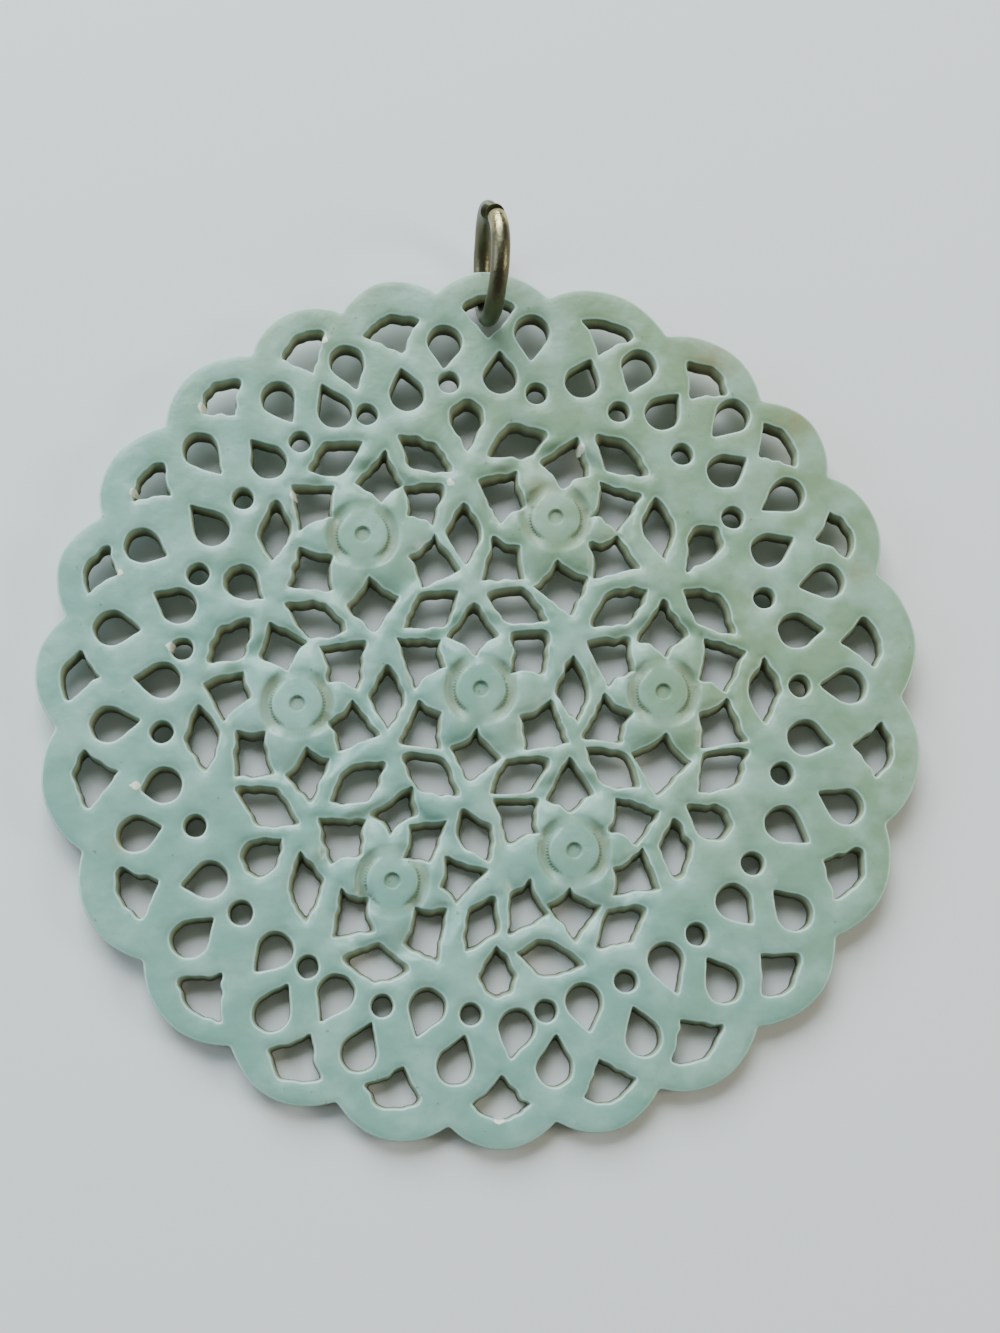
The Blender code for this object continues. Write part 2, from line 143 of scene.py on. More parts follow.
# Between two petals, from the corner at their root
PETAL_HOLES = (
    (1.45, 1.05, 3.35, 0.9, 3.72, 3.5, 1.35, 3.5),
    (-0.5, 1.95, 0.85, 3.2, -0.65, 5.25, -2.25, 3.12),
    (-2.2, 1.32, -2.45, 3.0, -5.0, 2.95, -3.95, 0.2),
    (-2.35, -1.2, -3.7, -0.45, -4.9, -3.0, -2.45, -3.35),
    (-0.4, -2.0, -2.0, -3.1, -0.9, -5.3, 1.0, -3.75),
    (1.85, -1.35, 2.1, -3.35, 4.8, -2.95, 3.75, -0.4),
    (12.1, 0.8, 13.75, 0.05, 15.0, 2.5, 12.6, 3.2),
    (10.35, 2.05, 11.75, 3.4, 10.15, 5.5, 8.6, 3.0),
    (8.65, 1.2, 8.4, 3.25, 5.75, 2.95, 7.0, 0.3),
    (8.4, -1.1, 6.8, 0.05, 5.4, -2.65, 7.95, -2.85),
    (10.25, -2.25, 8.2, -3.35, 9.65, -5.95, 11.8, -3.85),
    (12.0, -1.15, 12.15, -3.15, 14.85, -2.7, 13.8, -0.15),
    (6.15, 10.3, 7.6, 9.35, 9.1, 11.6, 6.65, 12.4),
    (4.4, 11.8, 6.1, 12.75, 5.4, 15.05, 3.05, 13.55),
    (2.5, 10.85, 1.9, 13.0, -0.5, 12.4, 0.85, 9.75),
    (2.1, 8.5, 0.45, 9.1, -0.25, 6.35, 2.3, 6.5),
    (4.15, 7.75, 2.7, 6.1, 5.0, 4.35, 6.0, 6.75),
    (6.0, 8.7, 6.15, 6.6, 8.9, 7.2, 7.65, 9.3),
    (-4.45, 10.1, -3.0, 9.6, -2.3, 12.0, -4.8, 11.95),
    (-5.95, 10.8, -4.65, 11.95, -5.75, 14.0, -7.6, 12.0),
    (-8.7, 10.0, -8.5, 11.9, -11.1, 11.8, -10.6, 9.15),
    (-8.65, 7.8, -10.6, 8.3, -11.3, 5.75, -8.6, 5.75),
    (-6.6, 6.6, -8.0, 4.85, -6.2, 3.2, -4.85, 5.5),
    (-4.4, 7.75, -3.65, 5.85, -1.4, 7.0, -2.9, 9.15),
    (-8.8, 0.35, -7.15, 0.0, -6.7, 2.9, -9.4, 2.5),
    (-11.05, 1.0, -9.95, 2.75, -12.2, 3.9, -12.75, 1.6),
    (-12.95, -0.55, -13.4, 1.15, -15.75, 0.3, -14.6, -1.95),
    (-12.15, -2.35, -13.85, -2.35, -13.9, -5.0, -11.65, -4.8),
    (-9.95, -3.15, -11.2, -4.8, -9.65, -6.4, -8.55, -3.8),
    (-8.85, -1.75, -8.2, -3.5, -5.9, -2.55, -7.45, -0.45),
    (-6.65, -9.2, -6.5, -7.25, -9.2, -7.2, -8.5, -9.85),
    (-5.25, -8.2, -3.7, -7.0, -4.0, -5.35, -6.45, -7.0),
    (-4.6, -9.45, -3.0, -9.8, -2.1, -7.3, -4.25, -7.5),
    (-2.65, -11.05, -1.6, -11.95, 0.25, -10.0, -2.2, -9.3),
    (-3.85, -12.0, -4.5, -14.05, -2.6, -15.1, -2.05, -12.1),
    (-6.35, -11.5, -7.9, -11.0, -8.35, -13.75, -5.95, -13.4),
    (6.85, -7.85, 8.5, -8.65, 9.95, -6.65, 7.3, -5.95),
    (4.75, -6.95, 6.3, -5.75, 4.75, -3.55, 3.35, -6.15),
    (3.1, -8.0, 3.1, -6.05, 0.4, -6.05, 1.3, -8.65),
    (2.55, -10.4, 1.3, -11.3, 1.25, -13.65, 3.65, -12.4),
    (4.75, -10.9, 3.35, -11.85, 4.95, -14.05, 6.5, -11.95),
    (7.05, -9.85, 7.1, -11.4, 9.8, -11.05, 8.85, -8.7),
)
LOZENGES = (
    (5.95, 0.2, 5.0, 2.2, 3.95, 0.1, 5.22, -1.75),
    (2.2, 6.05, 0.0, 5.65, 1.4, 3.95, 3.6, 4.05),
    (-1.45, 5.8, -3.75, 5.6, -4.6, 3.55, -2.2, 3.8),
    (-4.45, -0.2, -5.5, 1.6, -6.5, -0.3, -5.45, -2.3),
    (-2.2, -3.85, -4.7, -3.5, -3.75, -5.6, -1.4, -5.95),
    (3.75, -3.8, 1.2, -3.8, 0.25, -5.8, 2.6, -5.65),
    (16.9, 0.2, 15.95, 2.1, 14.95, 0.2, 15.9, -1.75),
    (13.6, 5.75, 11.3, 6.1, 12.2, 4.0, 14.4, 3.4),
    (14.95, -3.15, 12.4, -3.35, 12.0, -5.65, 14.3, -5.1),
    (9.4, 6.05, 7.0, 5.85, 5.9, 3.8, 8.4, 4.1),
    (8.1, -3.5, 5.6, -3.1, 6.6, -5.2, 8.7, -5.4),
    (11.0, 9.85, 9.85, 11.6, 8.95, 9.8, 10.4, 7.7),
    (8.4, 14.75, 6.4, 15.2, 7.0, 13.15, 9.5, 12.7),
    (3.7, 15.2, 1.3, 15.75, 0.1, 13.8, 2.5, 13.8),
    (-0.15, 9.3, -1.2, 11.15, -2.25, 9.3, -1.1, 7.3),
    (-2.9, 14.5, -5.0, 14.95, -4.4, 12.95, -1.85, 12.75),
    (-7.0, 14.5, -9.3, 14.35, -10.2, 12.65, -8.3, 12.5),
    (-11.0, 9.1, -12.0, 11.1, -13.0, 8.9, -12.1, 7.35),
    (-9.0, 4.95, -11.3, 4.85, -10.0, 2.95, -7.8, 3.35),
    (-13.1, 4.05, -15.1, 3.3, -15.55, 1.5, -13.55, 1.8),
    (-14.65, -2.5, -16.0, -0.85, -16.7, -3.0, -15.4, -4.7),
    (-11.5, -5.6, -13.8, -5.55, -12.5, -7.7, -10.2, -7.5),
    (-5.5, -4.1, -7.6, -4.3, -8.6, -6.35, -6.4, -6.25),
    (-8.85, -10.7, -10.15, -9.0, -10.85, -11.2, -9.75, -12.85),
    (-4.0, -15.55, -5.8, -14.0, -7.85, -14.75, -6.0, -16.15),
    (0.6, -11.45, -0.95, -12.2, -1.1, -14.5, 0.7, -13.4),
    (0.45, -7.7, -1.35, -6.65, -1.45, -8.5, 0.3, -9.65),
    (11.7, -8.9, 10.6, -7.05, 9.75, -8.7, 10.7, -10.7),
    (9.0, -12.05, 6.8, -12.1, 6.1, -14.25, 8.2, -13.85),
    (5.4, -15.2, 3.5, -13.75, 1.7, -14.5, 3.3, -15.85),
)
# x and y of the middle of each lattice teardrop's round end, then of its tip
LATTICE_TEARDROPS = (
    (12.75, 8.9, 11.6, 7.05), (-1.1, 16.1, -1.05, 14.05), (-13.8, 6.15, -12.5, 5.15),
    (-12.35, -9.4, -11.05, -8.3), (0.75, -15.9, 0.65, -14.2), (12.8, -7.35, 11.25, -6.35),
)
SCALLOP_HOLE_BOWS = (-0.12, 0.16, 0.16, -0.12)
PETAL_SWELL = 0.2
LATTICE_BOW = 0.1
HUB_RADIUS = 1.38
DIMPLE_RADIUS = 0.42
GROOVE_RADIUS = 2.16
LATTICE_RADIUS = 16.6

# A flower's relief: widths of its slopes in millimetres, and shares of its depths and of the painted shade in
# its dimple and groove. The groove is shallow above and below the hub, and turns deep where the sideways part
# of the direction grows, and its painted shade grows there as well.
HUB_CROWN = 0.04
DIMPLE_SLOPE = 0.06
DIMPLE_SHADE = 0.5
DIMPLE_SHADE_SLOPE = 0.1
HUB_SLOPE = 0.07
GROOVE_SLOPE = 0.3
GROOVE_LEAST = 0.16
GROOVE_TURN = 0.35
GROOVE_TURN_RISE = 0.5
GROOVE_SHADE_SLOPES = (0.06, 0.25)
GROOVE_SHADE_LEAST = 0.2
PETAL_CREST = 0.1
PETAL_LENGTH = 1.9
FLOWER_REACH = 4.6
FLOWER_FADE = 0.8

# The rest of the face: how far from an edge it falls, and its unevenness as waves in a millimetre,
# share and seed
LATTICE_FADE = 1.5
BORDER_FALL_WIDTH = 0.35
LATTICE_FALL_WIDTH = 0.65
FACE_WAVES = ((0.16, 1, 3.0), (0.9, 0.25, 9.0))

# Marks of age and use, each with the middle and the size of its spots, and a hollow in a petal
HOLLOW = ((3.1, 12.0), 0.6)
HOLLOW_DEPTH = 0.1
CRUMB_RISE = 0.11
MARKS = {
    "broken": (
        ((-10.9, 11.25), 0.36), ((5.5, 14.3), 0.36), ((-2.05, 12.1), 0.26), ((-19.25, -5.5), 0.34),
        ((0.8, -23.35), 0.34), ((-16.25, 16.3), 0.34), ((-20.0, 11.2), 0.28), ((-17.6, 2.3), 0.3),
        ((-9.4, 20.5), 0.26), ((-20.5, 6.5), 0.22),
    ),
    "stained": (
        HOLLOW, ((21.5, 7.0), 0.7), ((-19.95, -8.7), 0.5), ((13.4, 20.2), 1.6), ((18.2, 16.4), 1.3),
    ),
}

# Webs are measured up to the wide one, none gets thinner than the narrow one, and only firm ones sway
WIDE_WEB = 1.2
NARROW_WEB = 0.14
FIRM_WEB = 0.15
FIRM_WEB_RISE = 0.4

# The waves that the saw left in a millimetre, and how much of the chatter a drilled hole has
SWAY_WAVES = 0.5
CHATTER_WAVES = 2.2
SWAY_SEED = 5.0
CHATTER_SEED = 45.0
DRILLED_CHATTER = 0.3

# How dark the disc's outer edge gets towards the back, beside a hole's wall
OUTER_EDGE_SHADE = 0.22
# How worn the back's edges are, beside the face's
BACK_WEAR = 0.6
# How strong and how wide the painted highlight along the face's edges is
EDGE_HIGHLIGHT = 0.3
EDGE_HIGHLIGHT_WIDTH = 0.25
# How fast the celluloid yellows, and darkens as painted shade, across the plate towards the upper right, per
# metre
YELLOWING_AND_SHADE_RIGHTWARDS = 18.0
YELLOWING_AND_SHADE_UPWARDS = 17.0

# Fineness of the drawing
POINT_SPACING = 0.19
ARC_STEPS = 32
EDGE_STEPS = 3
CORNER_WEAR = 1
SHARP_TURN = 25.0
SHARPEST_LEAN = 0.6
FEWEST_POINTS = 10
SAME_PLACE = 1e-6
# Asks for the triangles inside the disc's edge alone
ONLY_INSIDE = 1
FALL_ROWS = (0.13, 0.32)
ROW_ROOM = 0.85
RING_ROOM = 0.07
FLOWER_ROOM = 0.2
GRID_ROOM = 0.1
GRID_SPACING = 0.75
FLOWER_RINGS = (
    0.2, 0.34, 0.39, 0.42, 0.45, 0.52, 0.85, 1.15, 1.3, 1.37, 1.41, 1.44, 1.6, 1.8, 1.98, 2.06, 2.11,
    2.16, 2.24, 2.4, 2.6, 2.85, 3.15, 3.45,
)
FLOWER_SPOKES = 52
CARVED_CREASE = 50.0
WIRE_CREASE = 40.0

# The jump ring's wire runs round a bend that stands over the edge, and its two ends part at an angle
# from the outward direction. Places along the wire are shares of its length from the front end, and
# dents are counted in a millimetre.
RING_BEND = 3.065
RING_WIRE = 1.07
RING_GAP = 0.5
RING_GAP_TURN = 42.0
RING_SIDE_STEP = 0.66
RING_END_HOOK = 0.35
RING_HOOK_SHARE = 0.2
RING_LEAN = 4.0
RUBBED_PLACE = 0.06
RUBBED_LENGTH = 0.07
CHAMFER_SLOPE = 0.6
DENTS = 0.9

# The photograph's view, as the plate's centre lies before the camera
CAMERA_NOD = 10.42
CAMERA_SWING = -3.70
DISC_BEFORE_CAMERA = (-0.859, -1.442, -96.06)
FOCAL_LENGTH = 45.91
# The floor's side and the nearest distance that is seen, in metres
FLOOR_SIZE = 6.0
NEAREST_SEEN = 0.005


def polar(radius, degrees):
    turn = math.radians(degrees)
    return Vector((radius * math.cos(turn), radius * math.sin(turn)))


def eased(value):
    """0 below 0, 1 above 1, and a smooth rise between them."""
    share = min(1.0, max(0.0, value))
    return share * share * (3 - 2 * share)


def scallop_angle(index):
    """The direction of a scallop's tip in degrees; a half index gives the valley after it."""
    share = index / SCALLOPS
    drift = sum(
        size * math.cos(math.radians(360 * waves * share + start))
        for waves, size, start in SPACING_DRIFTS
    )
    return FIRST_SCALLOP + 360 * share + drift


def hanging_scallop():
    return min(range(SCALLOPS), key=lambda index: abs(scallop_angle(index) - 90))


def disc_outline():
    points = []
    for index in range(SCALLOPS):
        for step in range(ARC_STEPS):
            along = 2 * step / ARC_STEPS - 1
            radius = DISC_RADIUS - SCALLOP_DEPTH * along**2
            points.append(polar(radius, scallop_angle(index + along / 2)))
    return points


def bowed_outline(corners, bows):
    """A closed outline through corners given anticlockwise; a side with a negative bow curves inwards."""
    points = []
    for index, (start, bow) in enumerate(zip(corners, bows)):
        side = corners[(index + 1) % len(corners)] - start
        outwards = Vector((side.y, -side.x)).normalized()
        for step in range(ARC_STEPS):
            share = step / ARC_STEPS
            points.append(start + side * share + outwards * bow * 4 * share * (1 - share))
    return points


def teardrop(middle, tip):
    """A round end about the middle, whose straight sides meet at the tip."""
    reach = tip - middle
    opening = math.degrees(math.acos(TEARDROP_RADIUS / reach.length))
    start = math.degrees(math.atan2(reach.y, reach.x)) % 360 + opening
    sweep = 360 - 2 * opening
    arc = [middle + polar(TEARDROP_RADIUS, start + sweep * step / ARC_STEPS) for step in range(ARC_STEPS + 1)]
    return arc + [tip]


def hanging_hole():
    """The hole that the ring goes through: a point inwards, and an arch that follows the scallop."""
    along = polar(1, scallop_angle(hanging_scallop()))
    across = Vector((-along.y, along.x))
    top = DISC_RADIUS - HANGING_RIM
    shoulder = top - HANGING_ARCH
    corners = (
        along * (top - HANGING_DEPTH),
        along * shoulder - across * HANGING_WIDTH / 2,
        along * shoulder + across * HANGING_WIDTH / 2,
    )
    return bowed_outline(corners, (0, HANGING_ARCH, 0))


def corners_of(row):
    """The places that a row of a table gives as x and y in turn."""
    return [Vector(pair) for pair in zip(row[::2], row[1::2])]


def bowed_holes(table, bows):
    return [bowed_outline(corners_of(row), bows) for row in table]


def teardrops(table):
    return [teardrop(*corners_of(row)) for row in table]


def pinholes():
    ring = [polar(PINHOLE_RADIUS, 360 * step / ARC_STEPS) for step in range(ARC_STEPS)]
    return [[Vector(middle) + arm for arm in ring] for middle in PINHOLES]


def lattice_holes():
    petal_bows = (-PETAL_SWELL, 0, 0, -PETAL_SWELL)
    holes = bowed_holes(PETAL_HOLES, petal_bows) + bowed_holes(LOZENGES, [LATTICE_BOW] * 4)
    return holes + teardrops(LATTICE_TEARDROPS)


def neighbours(points):
    return zip(points[-1:] + points[:-1], points, points[1:] + points[:1])


def evenly_spaced(points):
    """The same closed outline with its points at even distances, and a point in each corner."""
    ends = points[1:] + points[:1]
    runs = [(end - start).length for start, end in zip(points, ends)]
    total = max(FEWEST_POINTS, round(sum(runs) / POINT_SPACING))
    step = sum(runs) / total
    spaced = []
    travelled = 0.0
    for start, end, run in zip(points, ends, runs):
        while len(spaced) < total and len(spaced) * step < travelled + run:
            spaced.append(start.lerp(end, (len(spaced) * step - travelled) / run))
        travelled += run
    for before, point, after in neighbours(points):
        if (point - before).angle(after - point) > math.radians(SHARP_TURN):
            nearest = min(range(total), key=lambda index: (spaced[index] - point).length_squared)
            spaced[nearest] = point
    return spaced


def side_normals(points):
    """The way out of an anticlockwise outline at each point, longer at a corner to keep the offset even."""
    normals = []
    for before, point, after in neighbours(points):
        into = (point - before).normalized()
        onward = (after - point).normalized()
        along = (into + onward).normalized()
        outwards = Vector((along.y, -along.x))
        lean = outwards.dot(Vector((into.y, -into.x)))
        normals.append(outwards / max(SHARPEST_LEAN, lean))
    return normals


def tree_of(places):
    """Finds the nearest of some places in the plate's plane."""
    tree = kdtree.KDTree(len(places))
    for index, place in enumerate(places):
        tree.insert((place.x, place.y, 0), index)
    tree.balance()
    return tree


def web_widths(loops):
    """For each point of each outline, how far the nearest other outline is."""
    marked = [(point, number) for number, loop in enumerate(loops) for point in loop]
    tree = tree_of([point for point, _ in marked])
    widths = []
    for number, loop in enumerate(loops):
        row = []
        for point in loop:
            near = tree.find_range((point.x, point.y, 0), WIDE_WEB)
            others = [distance for _, index, distance in near if marked[index][1] != number]
            row.append(min(others, default=WIDE_WEB))
        widths.append(row)
    return widths


def wave(place, waves, seed):
    """A smooth random number about 0, which turns so many times in a millimetre."""
    return noise.noise(Vector((place.x * waves, place.y * waves, seed)))


def hand_cut(points, widths, sway, chatter, number):
    """An outline as a hand-held saw leaves it: it wanders and shakes a little, less beside a narrow web."""
    cut = []
    for point, normal, width in zip(points, side_normals(points), widths):
        off = sway * wave(point, SWAY_WAVES, SWAY_SEED + number)
        off += chatter * wave(point, CHATTER_WAVES, CHATTER_SEED + number)
        cut.append(point + normal * off * eased((width - FIRM_WEB) / FIRM_WEB_RISE))
    for _ in range(CORNER_WEAR):
        cut = [point * 0.5 + (before + after) * 0.25 for before, point, after in neighbours(cut)]
    return cut


def tapered(points, taper):
    """The outline of a hole grown on every side by the taper, or shrunk where it is negative."""
    middle = sum(points, Vector((0, 0))) / len(points)
    reach = min((point - middle).length for point in points)
    return [middle + (point - middle) * (1 + taper / reach) for point in points]


class EdgeField:
    """How far a place on a face is from the nearest outline, less than 0 where it lies off the plate."""

    def __init__(self, loops):
        self.spans = []
        for number, loop in enumerate(loops):
            side = into_plate(number)
            for (before, point, after), normal in zip(neighbours(loop), side_normals(loop)):
                self.spans.append((before, point, after, normal * side))
        self.tree = tree_of([span[1] for span in self.spans])

    def distance(self, place):
        _, index, _ = self.tree.find((place.x, place.y, 0))
        before, point, after, inwards = self.spans[index]
        nearest = min(distance_to(place, before, point), distance_to(place, point, after))
        return nearest if (place - point).dot(inwards) > 0 else -nearest


def into_plate(number):
    """The side of an outline that the plate is on: inside the first, the disc's edge, outside a hole."""
    return -1 if number == 0 else 1


def distance_to(place, start, end):
    run = end - start
    share = min(1.0, max(0.0, (place - start).dot(run) / run.length_squared))
    return (place - start - run * share).length


def flower_fall(offset, carving):
    """How deep a flower is carved at an offset from its centre, and how much painted shade lies there."""
    radius = offset.length
    outside = radius - HUB_RADIUS
    if outside < 0:
        inside = DIMPLE_RADIUS - radius
        crown = HUB_CROWN * (radius / HUB_RADIUS) ** 6
        dimple = carving.dimple_depth / MM * eased(inside / DIMPLE_SLOPE + 0.5)
        return crown + dimple, DIMPLE_SHADE * eased(inside / DIMPLE_SHADE_SLOPE + 0.5)
    sideways = eased((abs(offset.x) / radius - GROOVE_TURN) / GROOVE_TURN_RISE)
    rim = GROOVE_RADIUS - radius
    groove = carving.groove_depth / MM * (GROOVE_LEAST + (1 - GROOVE_LEAST) * sideways)
    groove *= eased(outside / HUB_SLOPE) * eased(rim / GROOVE_SLOPE)
    fall = eased((-rim - PETAL_CREST) / PETAL_LENGTH) * eased((FLOWER_REACH - radius) / FLOWER_FADE)
    shelter = eased(outside / GROOVE_SHADE_SLOPES[0]) * eased(rim / GROOVE_SHADE_SLOPES[1])
    shelter *= GROOVE_SHADE_LEAST + (1 - GROOVE_SHADE_LEAST) * sideways
    return groove + carving.petal_fall / MM * fall, shelter


def face_height(place, edge_distance, centres, carving):
    """The carved face's height at a place, and how much painted shade lies there, from 0 to 1."""
    lattice = 1 - eased((place.length - LATTICE_RADIUS) / LATTICE_FADE)
    depth = (carving.border_fall + (carving.lattice_fall - carving.border_fall) * lattice) / MM
    width = BORDER_FALL_WIDTH + (LATTICE_FALL_WIDTH - BORDER_FALL_WIDTH) * lattice
    height = PLATE_THICKNESS / 2 - depth * (1 - min(1.0, edge_distance / width)) ** 2
    for waves, share, seed in FACE_WAVES:
        height += carving.face_wander / MM * share * wave(place, waves, seed)
    height += CRUMB_RISE * mark_at(place, MARKS["broken"]) - HOLLOW_DEPTH * mark_at(place, (HOLLOW,))
    nearest = min(centres, key=lambda centre: (place - centre).length_squared)
    offset = place - nearest
    if offset.length > FLOWER_REACH:
        return height, 0.0
    fall, shelter = flower_fall(offset, carving)
    return height - fall, shelter


def loose_places(loops, field, centres):
    """Places that carry the face's relief: rows beside outlines, rings round flowers, and a wide grid."""
    places = []
    for number, loop in enumerate(loops):
        for distance in FALL_ROWS:
            for point, normal in zip(loop, side_normals(loop)):
                place = point + normal * into_plate(number) * distance
                if field.distance(place) > distance * ROW_ROOM:
                    places.append(place)
    for centre in centres:
        for ring, radius in enumerate(FLOWER_RINGS):
            spokes = FLOWER_SPOKES if radius > 1 else FLOWER_SPOKES // 2
            for spoke in range(spokes):
                place = centre + polar(radius, 360 * (spoke + ring % 2 / 2) / spokes)
                if field.distance(place) > FALL_ROWS[0] + RING_ROOM:
                    places.append(place)
    lines = round(2 * DISC_RADIUS / GRID_SPACING)
    for row in range(lines):
        for column in range(lines):
            x = (column + row % 2 / 2) * GRID_SPACING - DISC_RADIUS
            place = Vector((x, row * GRID_SPACING - DISC_RADIUS))
            near = min((place - centre).length for centre in centres)
            if near > FLOWER_RINGS[-1] + FLOWER_ROOM and field.distance(place) > FALL_ROWS[-1] + GRID_ROOM:
                places.append(place)
    return places + centres


def add_face(shape, loops, loose, height_at, facing):
    """Adds one face of the plate, and gives back its points along each outline."""
    places = []
    rings = []
    for loop in loops:
        rings.append(list(range(len(places), len(places) + len(loop))))
        places += loop
    edge = list(zip(rings[0], rings[0][1:] + rings[0][:1]))
    found, _, triangles, sources, _, holes = delaunay_2d_cdt(
        places + loose, edge, rings[1:], ONLY_INSIDE, SAME_PLACE,
    )
    points = []
    by_source = {}
    for place, used in zip(found, sources):
        height, cut, shelter = height_at(place)
        point = add_point(shape, place, height, cut=cut, shelter=shelter)
        points.append(point)
        for source in used:
            by_source[source] = point
    for corners, hole in zip(triangles, holes):
        if not hole:
            shape.faces.new([points[corner] for corner in corners][::facing])
    return [[by_source[index] for index in ring] for ring in rings]


def mark_at(place, spots):
    """How strong a mark is at a place: full in the middle of each of its spots, and fading round it."""
    return max(math.exp(-((place - Vector(middle)).length / size) ** 2) for middle, size in spots)


def add_point(shape, place, height, **shares):
    """Adds a point that carries the marks at its place and its own shares of cut, depth or painted shade in
    the carving.
    """
    layers = shape.verts.layers.float
    point = shape.verts.new((place.x, place.y, height))
    for name, spots in MARKS.items():
        point[layers[name]] = mark_at(place, spots)
    for name, share in shares.items():
        point[layers[name]] = share
    return point


def add_row(shape, places, heights, cut, depth):
    return [add_point(shape, place, height, cut=cut, depth=depth) for place, height in zip(places, heights)]


def join_rows(shape, upper, lower):
    total = len(upper)
    for step in range(total):
        onward = (step + 1) % total
        shape.faces.new((upper[step], lower[step], lower[onward], upper[onward]))


def cut_outlines(carving):
    """Every outline as it was cut, the disc's edge first, with the taper of its wall."""
    sawn = [hanging_hole()] + bowed_holes(SCALLOP_HOLES, SCALLOP_HOLE_BOWS)
    drilled = teardrops(OUTER_TEARDROPS) + teardrops(INNER_TEARDROPS) + pinholes()
    kinds = (
        ([disc_outline()], 0, 0),
        (sawn, carving.chatter, carving.border_taper),
        (drilled, carving.chatter * DRILLED_CHATTER, carving.border_taper),
        (lattice_holes(), carving.chatter, carving.lattice_taper),
    )
    drawn = [
        (evenly_spaced(loop), chatter / MM, taper / MM)
        for loops, chatter, taper in kinds
        for loop in loops
    ]
    rows = web_widths([loop for loop, _, _ in drawn])
    return [
        (hand_cut(loop, widths, carving.sway / MM, chatter, number), taper)
        for number, ((loop, chatter, taper), widths) in enumerate(zip(drawn, rows))
    ]


def carved_plate(carving):
    """The whole disc as one closed mesh in millimetres, in the plate's own plane."""
    centres = [Vector(centre) for centre in FLOWERS]
    edge = carving.edge_radius / MM
    back_edge = edge * BACK_WEAR
    outlines = cut_outlines(carving)
    fronts = [loop for loop, _ in outlines]
    lean = Vector((0, -carving.saw_lean / MM))
    backs = [fronts[0]] + [
        [point + lean for point in tapered(loop, -taper)] for loop, taper in outlines[1:]
    ]
    widths = web_widths(fronts)
    front_ways = []
    back_ways = []
    for number, (front, back, row) in enumerate(zip(fronts, backs, widths)):
        side = into_plate(number)
        room = [side * min(1.0, max(0.0, (width - NARROW_WEB) / 2 / edge)) for width in row]
        front_ways.append([way * share for way, share in zip(side_normals(front), room)])
        back_ways.append([way * share for way, share in zip(side_normals(back), room)])
    face_loops = [[p + way * edge for p, way in zip(*pair)] for pair in zip(fronts, front_ways)]
    back_loops = [[p + way * back_edge for p, way in zip(*pair)] for pair in zip(backs, back_ways)]
    field = EdgeField(face_loops)
    low = -PLATE_THICKNESS / 2

    def front_height(place):
        distance = max(0.0, field.distance(place))
        height, shelter = face_height(place, distance, centres, carving)
        # The cut share by an edge carries the painted highlight along it
        return height, EDGE_HIGHLIGHT * (1 - min(1.0, distance / EDGE_HIGHLIGHT_WIDTH)) ** 2, shelter

    shape = bmesh.new()
    for name in ("cut", "depth", "shelter", *MARKS):
        shape.verts.layers.float.new(name)
    loose = loose_places(face_loops, field, centres)
    face_rows = add_face(shape, face_loops, loose, front_height, 1)
    back_rows = add_face(shape, back_loops, [], lambda place: (low, 0.0, 0.0), -1)
    for number, (face_row, back_row) in enumerate(zip(face_rows, back_rows)):
        heights = [point.co.z for point in face_row]
        shade = 1 if number else OUTER_EDGE_SHADE
        rows = [face_row]
        for step in range(EDGE_STEPS - 1, -1, -1):
            turn = math.radians(90 * step / EDGE_STEPS)
            inset = edge * (1 - math.cos(turn))
            drop = edge * (1 - math.sin(turn))
            places = [p + way * inset for p, way in zip(fronts[number], front_ways[number])]
            drops = [height - drop for height in heights]
            # The cut shares on the edge's round carry the painted edge highlight
            rows.append(add_row(shape, places, drops, 1 - 0.5 * step / EDGE_STEPS, 0))
        # The depth share darkens the walls towards the back as painted shade, less on the disc's outer edge
        places = [front.lerp(back, 0.5) for front, back in zip(fronts[number], backs[number])]
        rows.append(add_row(shape, places, [(height + low) / 2 for height in heights], 1, shade / 2))
        rows.append(add_row(shape, backs[number], [low + back_edge] * len(heights), 1, shade))
        rows.append(back_row)
        if number == 0:
            rows.reverse()
        for upper, lower in zip(rows, rows[1:]):
            join_rows(shape, lower, upper)
    return shape


def plate_place():
    """Leans and moves the plate's own plane to where its solid lies, in metres."""
    low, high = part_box("openwork_disc")
    size = high - low
    turn = Matrix.Rotation(math.asin((size.z - PLATE_THICKNESS * MM) / size.y), 4, "X")
    corners = [
        turn @ (Vector((point.x, point.y, height)) * MM)
        for point in disc_outline()
        for height in (-PLATE_THICKNESS / 2, PLATE_THICKNESS / 2)
    ]
    middle = Vector(
        (min(corner[axis] for corner in corners) + max(corner[axis] for corner in corners)) / 2
        for axis in range(3)
    )
    return Matrix.Translation((low + high) / 2 - middle) @ turn


def only(piece):
    """Selects one piece alone, so that an operator acts on nothing else."""
    bpy.ops.object.select_all(action="DESELECT")
    piece.select_set(True)
    bpy.context.view_layer.objects.active = piece


def new_material(name):
    stuff = bpy.data.materials.new(name)
    stuff.use_nodes = True
    return stuff, stuff.node_tree, stuff.node_tree.nodes["Principled BSDF"]


def feed(tree, node, inputs):
    """Links each given input of a node to another's output, or sets it to a plain value."""
    for name, value in inputs.items():
        if isinstance(value, bpy.types.NodeSocket):
            tree.links.new(value, node.inputs[name])
        else:
            node.inputs[name].default_value = value


def fed(tree, kind, output, inputs, **settings):
    """Adds a node with its settings and inputs, and gives back one of its outputs."""
    node = tree.nodes.new("ShaderNode" + kind)
    for name, value in settings.items():
        setattr(node, name, value)
    feed(tree, node, inputs)
    return node.outputs[output]


